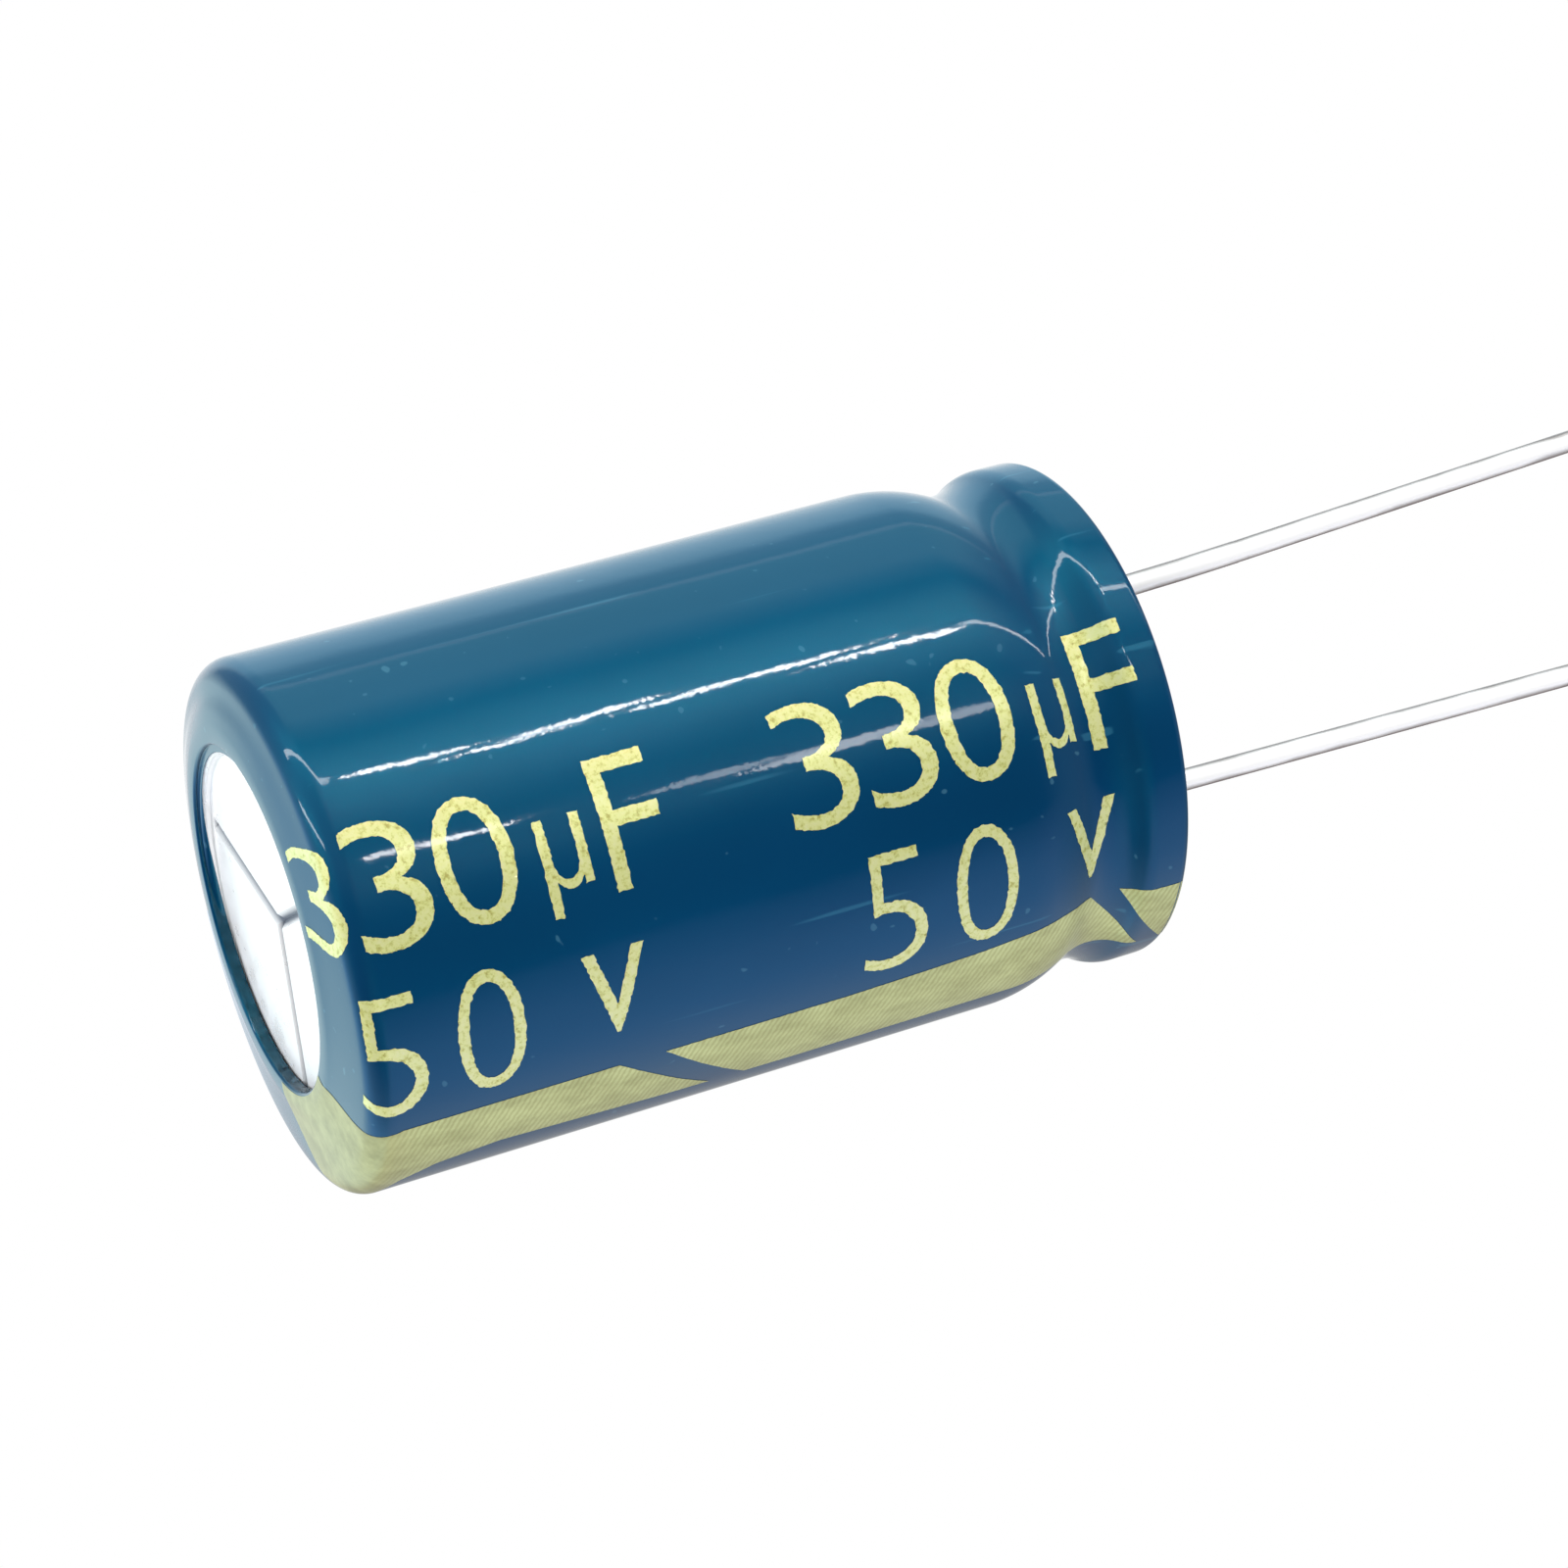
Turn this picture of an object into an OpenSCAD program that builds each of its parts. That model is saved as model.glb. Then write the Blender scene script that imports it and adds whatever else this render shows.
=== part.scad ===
// Radial aluminium electrolytic capacitor in a printed shrink sleeve.
// It stands on its closed end at z = 0, its axis is Z and both leads point up.
// The anode lead is on the +X side and the cathode lead on the -X side.

/* [Can] */
// Outside diameter of the drawn can
can_d = 12.5; // [12.1:0.1:13.5]
// Height of the can, from the crest of its closed end to the crest of its curl
can_h = 20.6; // [19.6:0.1:26]
// Wall of the can
can_wall = 0.3; // [0.24:0.01:0.36]
// Thickness of the closed end
end_wall = 0.4; // [0.3:0.01:0.5]
// Outside radius of the corner round the closed end
corner_r = 0.5; // [0.42:0.02:0.8]
// Slope of the end face between the corner and its crest, in degrees
end_slope = 11; // [6:0.5:16]
// Diameter of the recess in the closed end
recess_d = 8.5; // [7.8:0.1:9]
// Depth of the recess below the crest of the closed end
recess_depth = 0.22; // [0.16:0.01:0.5]
// Width of the crest round the recess, its rounded edge included
crest_w = 0.28; // [0.2:0.01:0.5]
// Radius of the edge between the crest and the recess
recess_edge_r = 0.1; // [0.06:0.01:0.14]
// Radius inside the recess, where its wall meets its floor
recess_foot_r = 0.05; // [0.03:0.01:0.08]

/* [Vent] */
// Directions of the three score lines, in degrees from the anode side
vent_angles = [82, 200, 301];
// Place of the point where the score lines meet, in X
vent_x = 0.25; // [-0.4:0.05:0.4]
// Place of the point where the score lines meet, in Y
vent_y = 0.65; // [-0.8:0.05:0.8]
// Width of a score line
score_w = 0.36; // [0.2:0.01:0.5]
// Depth of a score line
score_depth = 0.18; // [0.1:0.01:0.25]
// Gap between the end of a score line and the wall of the recess
score_gap = 0.15; // [0.05:0.01:0.5]

/* [Bead and curl] */
// Depth of the bead pressed into the can
bead_depth = 0.535; // [0.4:0.005:0.8]
// Distance from the crest of the curl down to the middle of the bead
bead_drop = 1.8; // [1.5:0.05:2.4]
// Length of the long shoulder that leads into the bead
bead_run = 2.3; // [1.8:0.05:2.8]
// How much narrower the can is at its curl than at its side, in diameter
neck_in = 0.36; // [0.2:0.02:0.6]
// Outside radius of the curl
curl_r = 0.6; // [0.5:0.01:0.7]
// Length of the curl's lip that bites into the bung
curl_lip = 0.15; // [0.05:0.01:0.25]

/* [Sleeve] */
// Thickness of the shrunk sleeve
sleeve_t = 0.13; // [0.08:0.01:0.16]
// Gap between the recess floor and the sleeve's edge, which folds into the recess
sleeve_fold_gap = 0.05; // [0.04:0.01:0.1]
// Height of the sleeve's free edge above the crest of the curl
sleeve_rise = 0.21; // [0.18:0.01:0.4]
// Outside radius where the free edge rolls inwards
sleeve_roll_r = 0.2; // [0.18:0.01:0.3]
// Width of the flat lip of the free edge
sleeve_lip = 0.1; // [0.04:0.01:0.2]

/* [Bung] */
// Height of the bung's side, up to the lip of the curl
bung_h = 4.3; // [3.8:0.1:5]
// Height of the bung's crown above its side
crown_h = 0.35; // [0.2:0.05:0.45]
// Radius of the edge of the crown
crown_round = 0.2; // [0.1:0.05:0.2]
// Length of the narrow part of a lead hole
throat_h = 1.1; // [0.8:0.1:1.6]
// Gap round a wire in the narrow part of its hole
throat_gap = 0.12; // [0.08:0.01:0.3]

/* [Winding] */
// Gap between the rolled winding and the can's wall
winding_gap = 0.3; // [0.2:0.05:0.6]
// Diameter of the hole that the winding spindle leaves
core_d = 2.0; // [1.6:0.1:2.2]
// Gap between the winding and the bung
headroom = 0.8; // [0.6:0.1:1.4]
// Thickness of the closing tape
tape_t = 0.06; // [0.04:0.01:0.12]
// Height of the closing tape
tape_h = 10; // [6:0.5:12]

/* [Terminals] */
// Distance between the two leads
pitch = 5.0; // [4.8:0.1:5.4]
// Diameter of a terminal's round shank
shank_d = 1.9; // [1.6:0.1:2.1]
// Width of a terminal's flattened paddle
paddle_w = 2.5; // [2.2:0.1:3]
// Thickness of a terminal's flattened paddle
paddle_t = 0.3; // [0.2:0.02:0.4]
// Length of a paddle inside the winding
paddle_l = 10; // [7:0.5:12]
// Diameter of the stitch marks that join a paddle to its foil
stitch_d = 0.7; // [0.4:0.1:1]
// Number of stitch marks on a paddle
stitches = 4; // [3:1:5]

/* [Leads] */
// Diameter of a lead wire
lead_d = 0.55; // [0.5:0.01:0.65]
// Length of the anode lead beyond the sleeve
anode_l = 20; // [17:0.5:26]
// Length of the cathode lead beyond the sleeve
cathode_l = 16; // [13:0.5:20]
// Straight length of a lead before it starts to lean outwards
lead_root = 0.6; // [0.4:0.1:3]
// Radius of the slight bend in a lead
bend_r = 100; // [40:5:140]
// Outward lean of the anode lead, in degrees
anode_lean_deg = 2.8; // [1.5:0.1:4]
// Outward lean of the cathode lead, in degrees
cathode_lean_deg = 0.9; // [0.4:0.1:2]
// Height of the weld between a wire and its shank
weld_h = 0.3; // [0.2:0.05:0.5]

/* [Hidden] */
$fn = 96;

// Clearance between pieces that sit on or in each other
snug = 0.02;
// Clearance round a paddle in its slot in the winding
slot_gap = 0.06;
// How far a straight wire runs into its bend, and how much thicker the bend is
bend_lap = 0.1;
bend_swell = 0.01;
// How far a cutting shape reaches past what it cuts
over = 1;

can_r = can_d / 2;
mouth_r = (can_d - neck_in) / 2;
end_z = snug + sleeve_t;
top_z = end_z + can_h;
recess_z = end_z + recess_depth;
floor_z = recess_z + end_wall;
recess_r = recess_d / 2;
crest_r = recess_r + crest_w;
edge = [recess_r + recess_edge_r, end_z + recess_edge_r];

// Centre of the corner: its arc touches the sloping end face and the side
corner_x = can_r - corner_r;
corner_z = end_z + corner_r * cos(end_slope)
         + (corner_x + corner_r * sin(end_slope) - crest_r) * tan(end_slope);

// Centre of the curl, and the bead whose arc touches the curl's and the long shoulder's
curl_x = mouth_r - curl_r;
curl_z = top_z - curl_r;
bead_z = top_z - bead_drop;
bead_rise = mouth_r - (can_r - bead_depth);
bead_r = (pow(curl_z - bead_z, 2) + pow(bead_rise, 2)) / (2 * bead_rise) - curl_r;
bead_x = can_r - bead_depth + bead_r;
shoulder_r = (pow(bead_run, 2) + pow(bead_depth, 2)) / (2 * bead_depth) - bead_r;
shoulder_x = can_r - shoulder_r;
shoulder_z = bead_z - bead_run;

sleeve_top = top_z + sleeve_rise;
sleeve_out = mouth_r + snug + sleeve_t;

bung_top = curl_z - curl_lip - snug;
bung_z = bung_top - bung_h;
crown_top = bung_top + crown_h;
crown_r = curl_x - curl_r - snug;
shank_top = crown_top - throat_h;

winding_z = floor_z + snug;
winding_top = bung_z - headroom;
winding_h = winding_top - winding_z;
winding_d = can_d - 2 * (can_wall + winding_gap);
paddle_z = winding_top - paddle_l;
bend_z = sleeve_top + lead_root;

function along(from, to, reach) = from + (to - from) * reach / norm(to - from);

// Half section of the can's outline from the axis out, grown by g on every side
module case_profile(g) {
    curl = [curl_x, curl_z];
    bead = [bead_x, bead_z];
    shoulder = [shoulder_x, shoulder_z];
    difference() {
        union() {
            polygon([
                [0, end_z - g],
                [crest_r + g * tan(end_slope / 2), end_z - g],
                [corner_x, corner_z] + (corner_r + g) * [sin(end_slope), -cos(end_slope)],
                [can_r + g, corner_z],
                [can_r + g, shoulder_z],
                along(shoulder, bead, shoulder_r + g),
                along(curl, bead, curl_r + g),
                curl,
                [curl_x, top_z + g],
                [0, top_z + g]
            ]);
            translate([corner_x, corner_z]) circle(corner_r + g);
            translate(shoulder) circle(shoulder_r + g);
            translate(curl) circle(curl_r + g);
        }
        translate(bead) circle(bead_r - g);
        translate([-2 * can_r, 0]) square([2 * can_r, top_z + over]);
    }
}

// Half section of everything above a height and inside a radius
module mouth(radius, height) {
    translate([0, height]) square([radius, top_z + over - height]);
}

// Half section of the rolled rim: half a ring, and the lip that points down into the bung
module curl_profile() {
    difference() {
        translate([curl_x, curl_z]) circle(curl_r);
        translate([curl_x, curl_z]) circle(curl_r - can_wall);
        translate([curl_x - curl_r - over, curl_z - curl_r - over])
            square([2 * (curl_r + over), curl_r + over]);
    }
    translate([curl_x - curl_r, curl_z - curl_lip]) square([can_wall, curl_lip]);
}

// Half section of the space in the recess, with a rounded foot
module recess_profile() {
    square([recess_r - recess_foot_r, recess_z]);
    square([recess_r, recess_z - recess_foot_r]);
    translate([recess_r - recess_foot_r, recess_z - recess_foot_r]) circle(recess_foot_r);
}

// Half section of the can: one sheet, with a step inwards for the recess
module can_profile() {
    difference() {
        case_profile(0);
        difference() {
            case_profile(-can_wall);
            square([recess_r + can_wall, floor_z]);
        }
        recess_profile();
        square(edge);
        mouth(can_r + over, curl_z);
    }
    intersection() {
        translate(edge) circle(recess_edge_r);
        square(edge);
    }
    curl_profile();
}

// One score line from the meeting point towards the wall of the recess
module score(angle) {
    reach = recess_r - score_gap;
    ahead = vent_x * cos(angle) + vent_y * sin(angle);
    aside = vent_x * sin(angle) - vent_y * cos(angle);
    length = sqrt(pow(reach, 2) - pow(aside, 2)) - ahead;
    lift = score_depth / 2;
    mouth_w = score_w * (1 + lift / score_depth);
    translate([vent_x, vent_y, recess_z]) rotate([0, 0, angle]) rotate([90, 0, 90])
        linear_extrude(length) polygon([[-mouth_w / 2, -lift], [mouth_w / 2, -lift], [0, score_depth]]);
}

module can() {
    color([0.86, 0.87, 0.88]) difference() {
        rotate_extrude() can_profile();
        for (angle = vent_angles) score(angle);
    }
}

// Half section of the sleeve's end above the curl: a short skirt that rolls inwards
module sleeve_rim() {
    roll_x = sleeve_out - sleeve_roll_r;
    roll_z = sleeve_top - sleeve_roll_r;
    translate([sleeve_out - sleeve_t, curl_z]) square([sleeve_t, roll_z - curl_z]);
    intersection() {
        difference() {
            translate([roll_x, roll_z]) circle(sleeve_roll_r);
            translate([roll_x, roll_z]) circle(sleeve_roll_r - sleeve_t);
        }
        translate([roll_x, roll_z]) square(sleeve_roll_r);
    }
    translate([roll_x - sleeve_lip, sleeve_top - sleeve_t]) square([sleeve_lip, sleeve_t]);
}

// Half section of the sleeve's other end: it folds round the edge of the recess and lines its wall
module sleeve_fold() {
    difference() {
        intersection() {
            translate(edge) circle(recess_edge_r + snug + sleeve_t);
            square(edge);
        }
        translate(edge) circle(recess_edge_r + snug);
    }
    translate([recess_r - snug - sleeve_t, edge[1]])
        square([sleeve_t, recess_z - sleeve_fold_gap - edge[1]]);
}

module sleeve() {
    color([0.1, 0.36, 0.5]) rotate_extrude() {
        difference() {
            case_profile(snug + sleeve_t);
            case_profile(snug);
            square(edge);
            mouth(can_r + over, curl_z);
        }
        sleeve_fold();
        sleeve_rim();
    }
}

// Half section of the bung: its side follows the bead, its crown fills the ring of the curl
module bung_profile() {
    difference() {
        case_profile(-can_wall - snug);
        square([can_r, bung_z]);
        mouth(can_r, bung_top);
    }
    translate([0, bung_top]) square([crown_r - crown_round, crown_h]);
    translate([0, bung_top]) square([crown_r, crown_h - crown_round]);
    translate([crown_r - crown_round, crown_top - crown_round]) circle(crown_round);
}

// Stepped hole: wide for the shank and its weld, narrow for the wire
module terminal_hole(side) {
    translate([side * pitch / 2, 0, bung_z - over])
        cylinder(d = shank_d + 2 * snug, h = shank_top + snug - bung_z + over);
    translate([side * pitch / 2, 0, bung_z])
        cylinder(d = lead_d + 2 * throat_gap, h = crown_top - bung_z + over);
}

module bung() {
    color([0.13, 0.13, 0.14]) difference() {
        rotate_extrude() bung_profile();
        terminal_hole(1);
        terminal_hole(-1);
    }
}

// Slot between two turns of the roll, where a paddle is stitched to its foil
module paddle_slot(side) {
    slot = [paddle_t + 2 * slot_gap, paddle_w + 2 * slot_gap];
    translate([side * pitch / 2 - slot[0] / 2, -slot[1] / 2, paddle_z - slot_gap])
        cube([slot[0], slot[1], paddle_l + over]);
}

module winding() {
    color([0.8, 0.74, 0.6]) difference() {
        translate([0, 0, winding_z]) cylinder(d = winding_d, h = winding_h);
        translate([0, 0, winding_z - over]) cylinder(d = core_d, h = winding_h + 2 * over);
        paddle_slot(1);
        paddle_slot(-1);
    }
}

module winding_tape() {
    bore = winding_d + 2 * snug;
    color([0.82, 0.7, 0.4]) translate([0, 0, winding_z + (winding_h - tape_h) / 2]) difference() {
        cylinder(d = bore + 2 * tape_t, h = tape_h);
        translate([0, 0, -over]) cylinder(d = bore, h = tape_h + 2 * over);
    }
}

// Shank flattened into its paddle: thinner one way and wider the other
module flattening() {
    intersection() {
        translate([0, shank_d, 0]) rotate([90, 0, 0]) linear_extrude(2 * shank_d)
            polygon([[-paddle_t / 2, winding_top], [paddle_t / 2, winding_top],
                     [shank_d / 2, bung_z], [-shank_d / 2, bung_z]]);
        union() {
            translate([0, 0, winding_top]) cylinder(d = shank_d, h = headroom);
            rotate([90, 0, 90]) translate([0, 0, -shank_d]) linear_extrude(2 * shank_d)
                polygon([[-paddle_w / 2, winding_top], [paddle_w / 2, winding_top], [0, bung_z]]);
        }
    }
}

module terminal(side) {
    color([0.8, 0.81, 0.83]) translate([side * pitch / 2, 0, 0]) {
        translate([0, 0, bung_z]) cylinder(d = shank_d, h = shank_top - weld_h - bung_z);
        translate([0, 0, shank_top - weld_h]) cylinder(d1 = shank_d, d2 = lead_d, h = weld_h);
        flattening();
        difference() {
            translate([-paddle_t / 2, -paddle_w / 2, paddle_z])
                cube([paddle_t, paddle_w, paddle_l]);
            for (i = [1 : stitches])
                translate([-over, 0, paddle_z + paddle_l * i / (stitches + 1)])
                    rotate([0, 90, 0]) cylinder(d = stitch_d, h = 2 * over);
        }
    }
}

// Wire on the -X side: straight out of the shank, one slight bend, then straight to its cut end.
// Both straight lengths run a little way into the bend, which is a hair thicker.
module wire(lean, length) {
    run = (length - lead_root - bend_r * sin(lean)) / cos(lean);
    translate([-pitch / 2, 0, shank_top]) cylinder(d = lead_d, h = bend_z + bend_lap - shank_top);
    translate([-pitch / 2 - bend_r, 0, bend_z]) {
        rotate([90, 0, 0])
            rotate_extrude(angle = lean) translate([bend_r, 0]) circle(d = lead_d + bend_swell);
        rotate([0, -lean, 0]) translate([bend_r, 0, -bend_lap])
            cylinder(d = lead_d, h = run + bend_lap);
    }
}

module anode_lead() {
    color([0.75, 0.76, 0.78]) rotate([0, 0, 180]) wire(anode_lean_deg, anode_l);
}

module cathode_lead() {
    color([0.75, 0.76, 0.78]) wire(cathode_lean_deg, cathode_l);
}

sleeve();
can();
bung();
winding();
winding_tape();
terminal(1);  // anode_terminal
terminal(-1);  // cathode_terminal
anode_lead();
cathode_lead();
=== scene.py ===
# %% [markdown]
# A radial electrolytic capacitor, dressed for its portrait.
#
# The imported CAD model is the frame: an aluminium can with a vented end, a rubber bung, two wire leads
# and a roll of foil that nobody sees. The script keeps those solids and gives them their finishes. It
# makes three things of its own: a finer shrink sleeve, the gold rating on it and the gold stripe.

# %% Load the frame
import bmesh
import bpy
import numpy as np
from math import asin, atan2, cos, degrees, pi, radians, sin, tan
from mathutils import Matrix, Vector, noise


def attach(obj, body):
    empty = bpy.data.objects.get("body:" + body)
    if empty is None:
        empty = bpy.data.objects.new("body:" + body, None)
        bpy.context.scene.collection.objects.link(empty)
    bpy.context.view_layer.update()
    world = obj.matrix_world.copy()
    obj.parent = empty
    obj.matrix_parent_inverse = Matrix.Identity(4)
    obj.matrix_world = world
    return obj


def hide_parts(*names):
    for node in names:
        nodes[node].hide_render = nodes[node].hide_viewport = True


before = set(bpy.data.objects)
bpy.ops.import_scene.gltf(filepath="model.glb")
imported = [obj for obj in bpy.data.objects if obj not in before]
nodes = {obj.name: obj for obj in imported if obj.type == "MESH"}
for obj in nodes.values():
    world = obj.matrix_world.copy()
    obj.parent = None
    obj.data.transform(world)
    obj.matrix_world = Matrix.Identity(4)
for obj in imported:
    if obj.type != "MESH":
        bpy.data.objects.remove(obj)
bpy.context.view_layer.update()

# %% [markdown]
# The camera comes first, because every later choice is judged through it. The capacitor lies on its side
# in the photograph, while the part stands upright here, so the camera is the thing that is turned. A
# rotation made of three axes says this best: which way is right in the picture, which way is up, and
# which way points back towards the photographer.

# %% Camera
MM = 0.001
camera_place = Vector((9.616, 98.559, -22.838)) * MM
camera_data = bpy.data.cameras.new("camera")
camera_data.sensor_width = 36
camera_data.lens = 100.94
camera_data.clip_start = 0.005
camera = bpy.data.objects.new("camera", camera_data)
bpy.context.scene.collection.objects.link(camera)
picture_right = Vector((-0.2381, 0.3548, 0.9041))
picture_up = Vector((0.96703, 0, 0.25468))
picture_back = Vector((0.09037, 0.93492, -0.34314))
turn = Matrix((picture_right, picture_up, picture_back)).transposed()
camera.matrix_world = Matrix.Translation(camera_place) @ turn.to_4x4()
bpy.context.scene.camera = camera
bpy.context.scene.view_settings.view_transform = "Standard"
print("camera is", round(camera.location.length * 1000, 1), "mm from the closed end")

# %% [markdown]
# The sleeve is a tube of printed film, shrunk on with hot air. It copies the can under it and rolls in at
# both ends. A spun outline is the natural way to make it, and the outline is drawn as arcs and straight
# runs that touch each other. One function draws it for any distance from the can, so the outside and the
# inside of the film are two calls of it.

# %% Measures of the sleeve, in millimetres, as in the CAD
can_r, can_top = 6.25, 20.75
film, snug = 0.13, 0.02
end_z = film + snug
slope = radians(11)
recess_edge, recess_edge_r = Vector((4.35, 0.25)), 0.1
recess_z = 0.37
crest_r = 4.53
opening_r = 4.14
opening_shift = Vector((0.38, -0.06, 0))
fold_r, fold_gap = 0.07, 0.05
corner_r = 0.5
corner = Vector((can_r - corner_r, 0))
corner.y = end_z + corner_r * cos(slope) + (corner.x + corner_r * sin(slope) - crest_r) * tan(slope)
bead_depth, bead_run, bead_drop, curl_r = 0.535, 2.3, 1.8, 0.6
mouth_r = 6.07
curl = Vector((mouth_r - curl_r, can_top - curl_r))
bead_rise = mouth_r - (can_r - bead_depth)
bead_z = can_top - bead_drop
bead_r = ((curl.y - bead_z) ** 2 + bead_rise ** 2) / (2 * bead_rise) - curl_r
bead = Vector((can_r - bead_depth + bead_r, bead_z))
shoulder_r = (bead_run ** 2 + bead_depth ** 2) / (2 * bead_depth) - bead_r
shoulder = Vector((can_r - shoulder_r, bead_z - bead_run))
sleeve_top = can_top + 0.21
roll_r, lip_width = 0.2, 0.1
print("bead radius", round(bead_r, 3), "shoulder radius", round(shoulder_r, 3))

# %% Outline helpers
def arc(centre, radius, start, end, steps):
    """Points on an arc, in degrees, both ends included."""
    angles = np.radians(np.linspace(start, end, steps + 1))
    return [Vector((centre.x + radius * cos(a), centre.y + radius * sin(a))) for a in angles]


def heading(a, b):
    """Direction from a to b, in degrees."""
    return degrees(atan2(b.y - a.y, b.x - a.x))


def outline(gap, roll, fold, bend):
    """The sleeve's skin at a distance from the can, from its fold in the recess up to the rolled rim."""
    points = [Vector((fold.x - bend, z)) for z in np.linspace(recess_z - fold_gap, fold.y, 12)[:-1]]
    points += arc(fold, bend, 180, 270, 8)
    turned = arc(corner, corner_r + gap, degrees(slope) - 90, 0, 14)
    crest = Vector((crest_r + gap * tan(slope / 2), end_z - gap))
    points += [crest.lerp(turned[0], share) for share in np.linspace(0, 1, 12)[:-1]]
    points += turned
    points += [Vector((can_r + gap, z)) for z in np.linspace(corner.y, shoulder.y, 40)[1:-1]]
    points += arc(shoulder, shoulder_r + gap, 0, heading(shoulder, bead), 24)
    points += arc(bead, bead_r - gap, heading(bead, shoulder) % 360, heading(bead, curl) % 360, 20)[1:-1]
    points += arc(curl, curl_r + gap, heading(bead, curl) % 360 - 180, 0, 14)
    rim = Vector((mouth_r + snug + film - roll_r, sleeve_top - roll_r))
    points += arc(rim, roll, 0, 90, 8)
    points.append(Vector((rim.x - lip_width, sleeve_top - roll_r + roll)))
    return points


skin = outline(snug + film, roll_r, Vector((opening_r + fold_r, fold_r)), fold_r)
lining = outline(snug, roll_r - film, recess_edge, recess_edge_r + snug)
steps = [0.0] + [(b - a).length for a, b in zip(skin, skin[1:])]
run = np.cumsum(steps)
straight = next(i for i, p in enumerate(skin) if p.x > can_r + snug + film - 1e-6)
run += skin[straight].y - run[straight]
print("outline points", len(skin) + len(lining))
print("film runs from", round(run[0], 2), "to", round(run[-1], 2), "mm")

# %% [markdown]
# In the photograph the opening at the closed end lies off centre, because the film shrank a little more on
# one side. A smooth push moves it there, and fades out before the can's corner. The edge that is tucked
# into the recess can't go through the metal, so it is laid again along the recess: down its wall where the
# film reaches it, and over the can's rounded edge where the film falls short.

# %% Lay the opening off centre
still_r, stretch = 5.9, 1.2
edge_gap, lining_gap = 0.035, 0.008
lining_share = 0.25 / 0.19


def lay(radius, length, gap):
    """Where the film's edge lies, a length on from its fold: down into the recess, over the can's edge."""
    bend = recess_edge_r + gap
    over = recess_edge.x - radius
    if over >= bend:
        return radius, fold_r + length
    start = asin(max(0.0, over) / bend)
    drop = recess_edge.y - bend * cos(start) - fold_r
    flat = max(0.0, -over)
    if length < drop + flat:
        return radius - max(0.0, length - drop), fold_r + min(length, drop)
    turned = start + (length - drop - flat) / bend
    if turned < pi / 2:
        return recess_edge.x - bend * sin(turned), recess_edge.y - bend * cos(turned)
    return recess_edge.x - bend, recess_edge.y + (turned - pi / 2) * bend


def settle(point):
    """Moves the sleeve's opening to one side, as the film shrank. The edge inside it follows the can."""
    radius = Vector((point.x, point.y)).length
    if point.z > 1 or radius > still_r:
        return point
    if radius < recess_edge.x + 0.001 and point.z > fold_r:
        if radius > opening_r + snug:
            length, gap = (point.z - end_z + snug) * lining_share, lining_gap
        else:
            length, gap = point.z - fold_r, edge_gap
        edge = Vector((point.x, point.y, 0)) * (opening_r / radius) + opening_shift
        out, z = lay(edge.length, length, gap)
        return edge * (out / edge.length) + Vector((0, 0, z))
    hold = min(1.0, (still_r - radius) / stretch)
    return point + opening_shift * hold * hold * (3 - 2 * hold)


# %% Spin the sleeve
def new_piece(name, bm):
    """A finished object from a bmesh whose lengths are still in millimetres."""
    bmesh.ops.scale(bm, vec=(MM, MM, MM), verts=bm.verts)
    mesh = bpy.data.meshes.new(name)
    bm.to_mesh(mesh)
    bm.free()
    for face in mesh.polygons:
        face.use_smooth = True
    piece = bpy.data.objects.new(name, mesh)
    bpy.context.scene.collection.objects.link(piece)
    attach(piece, "root")
    return piece


sides = 240
seam = radians(96)
bm = bmesh.new()
height = bm.verts.layers.float.new("run")
ring = [bm.verts.new((p.x, 0, p.y)) for p in skin + lining[::-1]]
for vert, share in zip(ring, np.linspace(0, 1, len(ring))):
    vert[height] = share
loop = [bm.edges.new(pair) for pair in zip(ring, ring[1:] + ring[:1])]
bmesh.ops.rotate(bm, verts=bm.verts, matrix=Matrix.Rotation(-seam, 3, "Z"))
bmesh.ops.spin(bm, geom=ring + loop, cent=(0, 0, 0), axis=(0, 0, 1), angle=2 * pi, steps=sides,
               use_merge=True, use_duplicate=False)
for vert in bm.verts:
    vert.co = settle(vert.co)
bmesh.ops.recalc_face_normals(bm, faces=bm.faces)
print("sleeve faces", len(bm.faces), "volume", round(bm.calc_volume(), 1), "mm3")

# %% Unroll the sleeve for its maps: once round, and once along the closed outline
unrolled = bm.loops.layers.uv.new("OFBake")
margin = 0.002
for face in bm.faces:
    turns = [((atan2(c.vert.co.y, c.vert.co.x) + seam) / (2 * pi)) % 1 for c in face.loops]
    heights = [c.vert[height] for c in face.loops]
    for c, u, v in zip(face.loops, turns, heights):
        if max(turns) - min(turns) > 0.5 and u < 0.5:
            u += 1
        if max(heights) - min(heights) > 0.5 and v < 0.5:
            v += 1
        c[unrolled].uv = (margin + (1 - 2 * margin) * u, margin + (1 - 2 * margin) * v / (1 + 1 / len(ring)))
sleeve = new_piece("shrink_sleeve", bm)
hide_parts("sleeve")

# %% [markdown]
# The rating is printed on the flat tube before it shrinks, so it wraps round the can and follows the
# bead. Text objects give good letter shapes. Each letter is flattened to a mesh, cut into small tiles by
# planes, and then laid on the sleeve: one direction runs along the film, the other goes round it. The
# edges are shaken by a few hundredths of a millimetre, as printing on film never dries quite sharp. The
# noise for this takes its seed from the clock unless it is told one, so the seed is fixed: every run
# then draws the same letters.

# %% Lay flat shapes on the film
ink_lift = 0.008
noise.seed_set(7)


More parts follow.
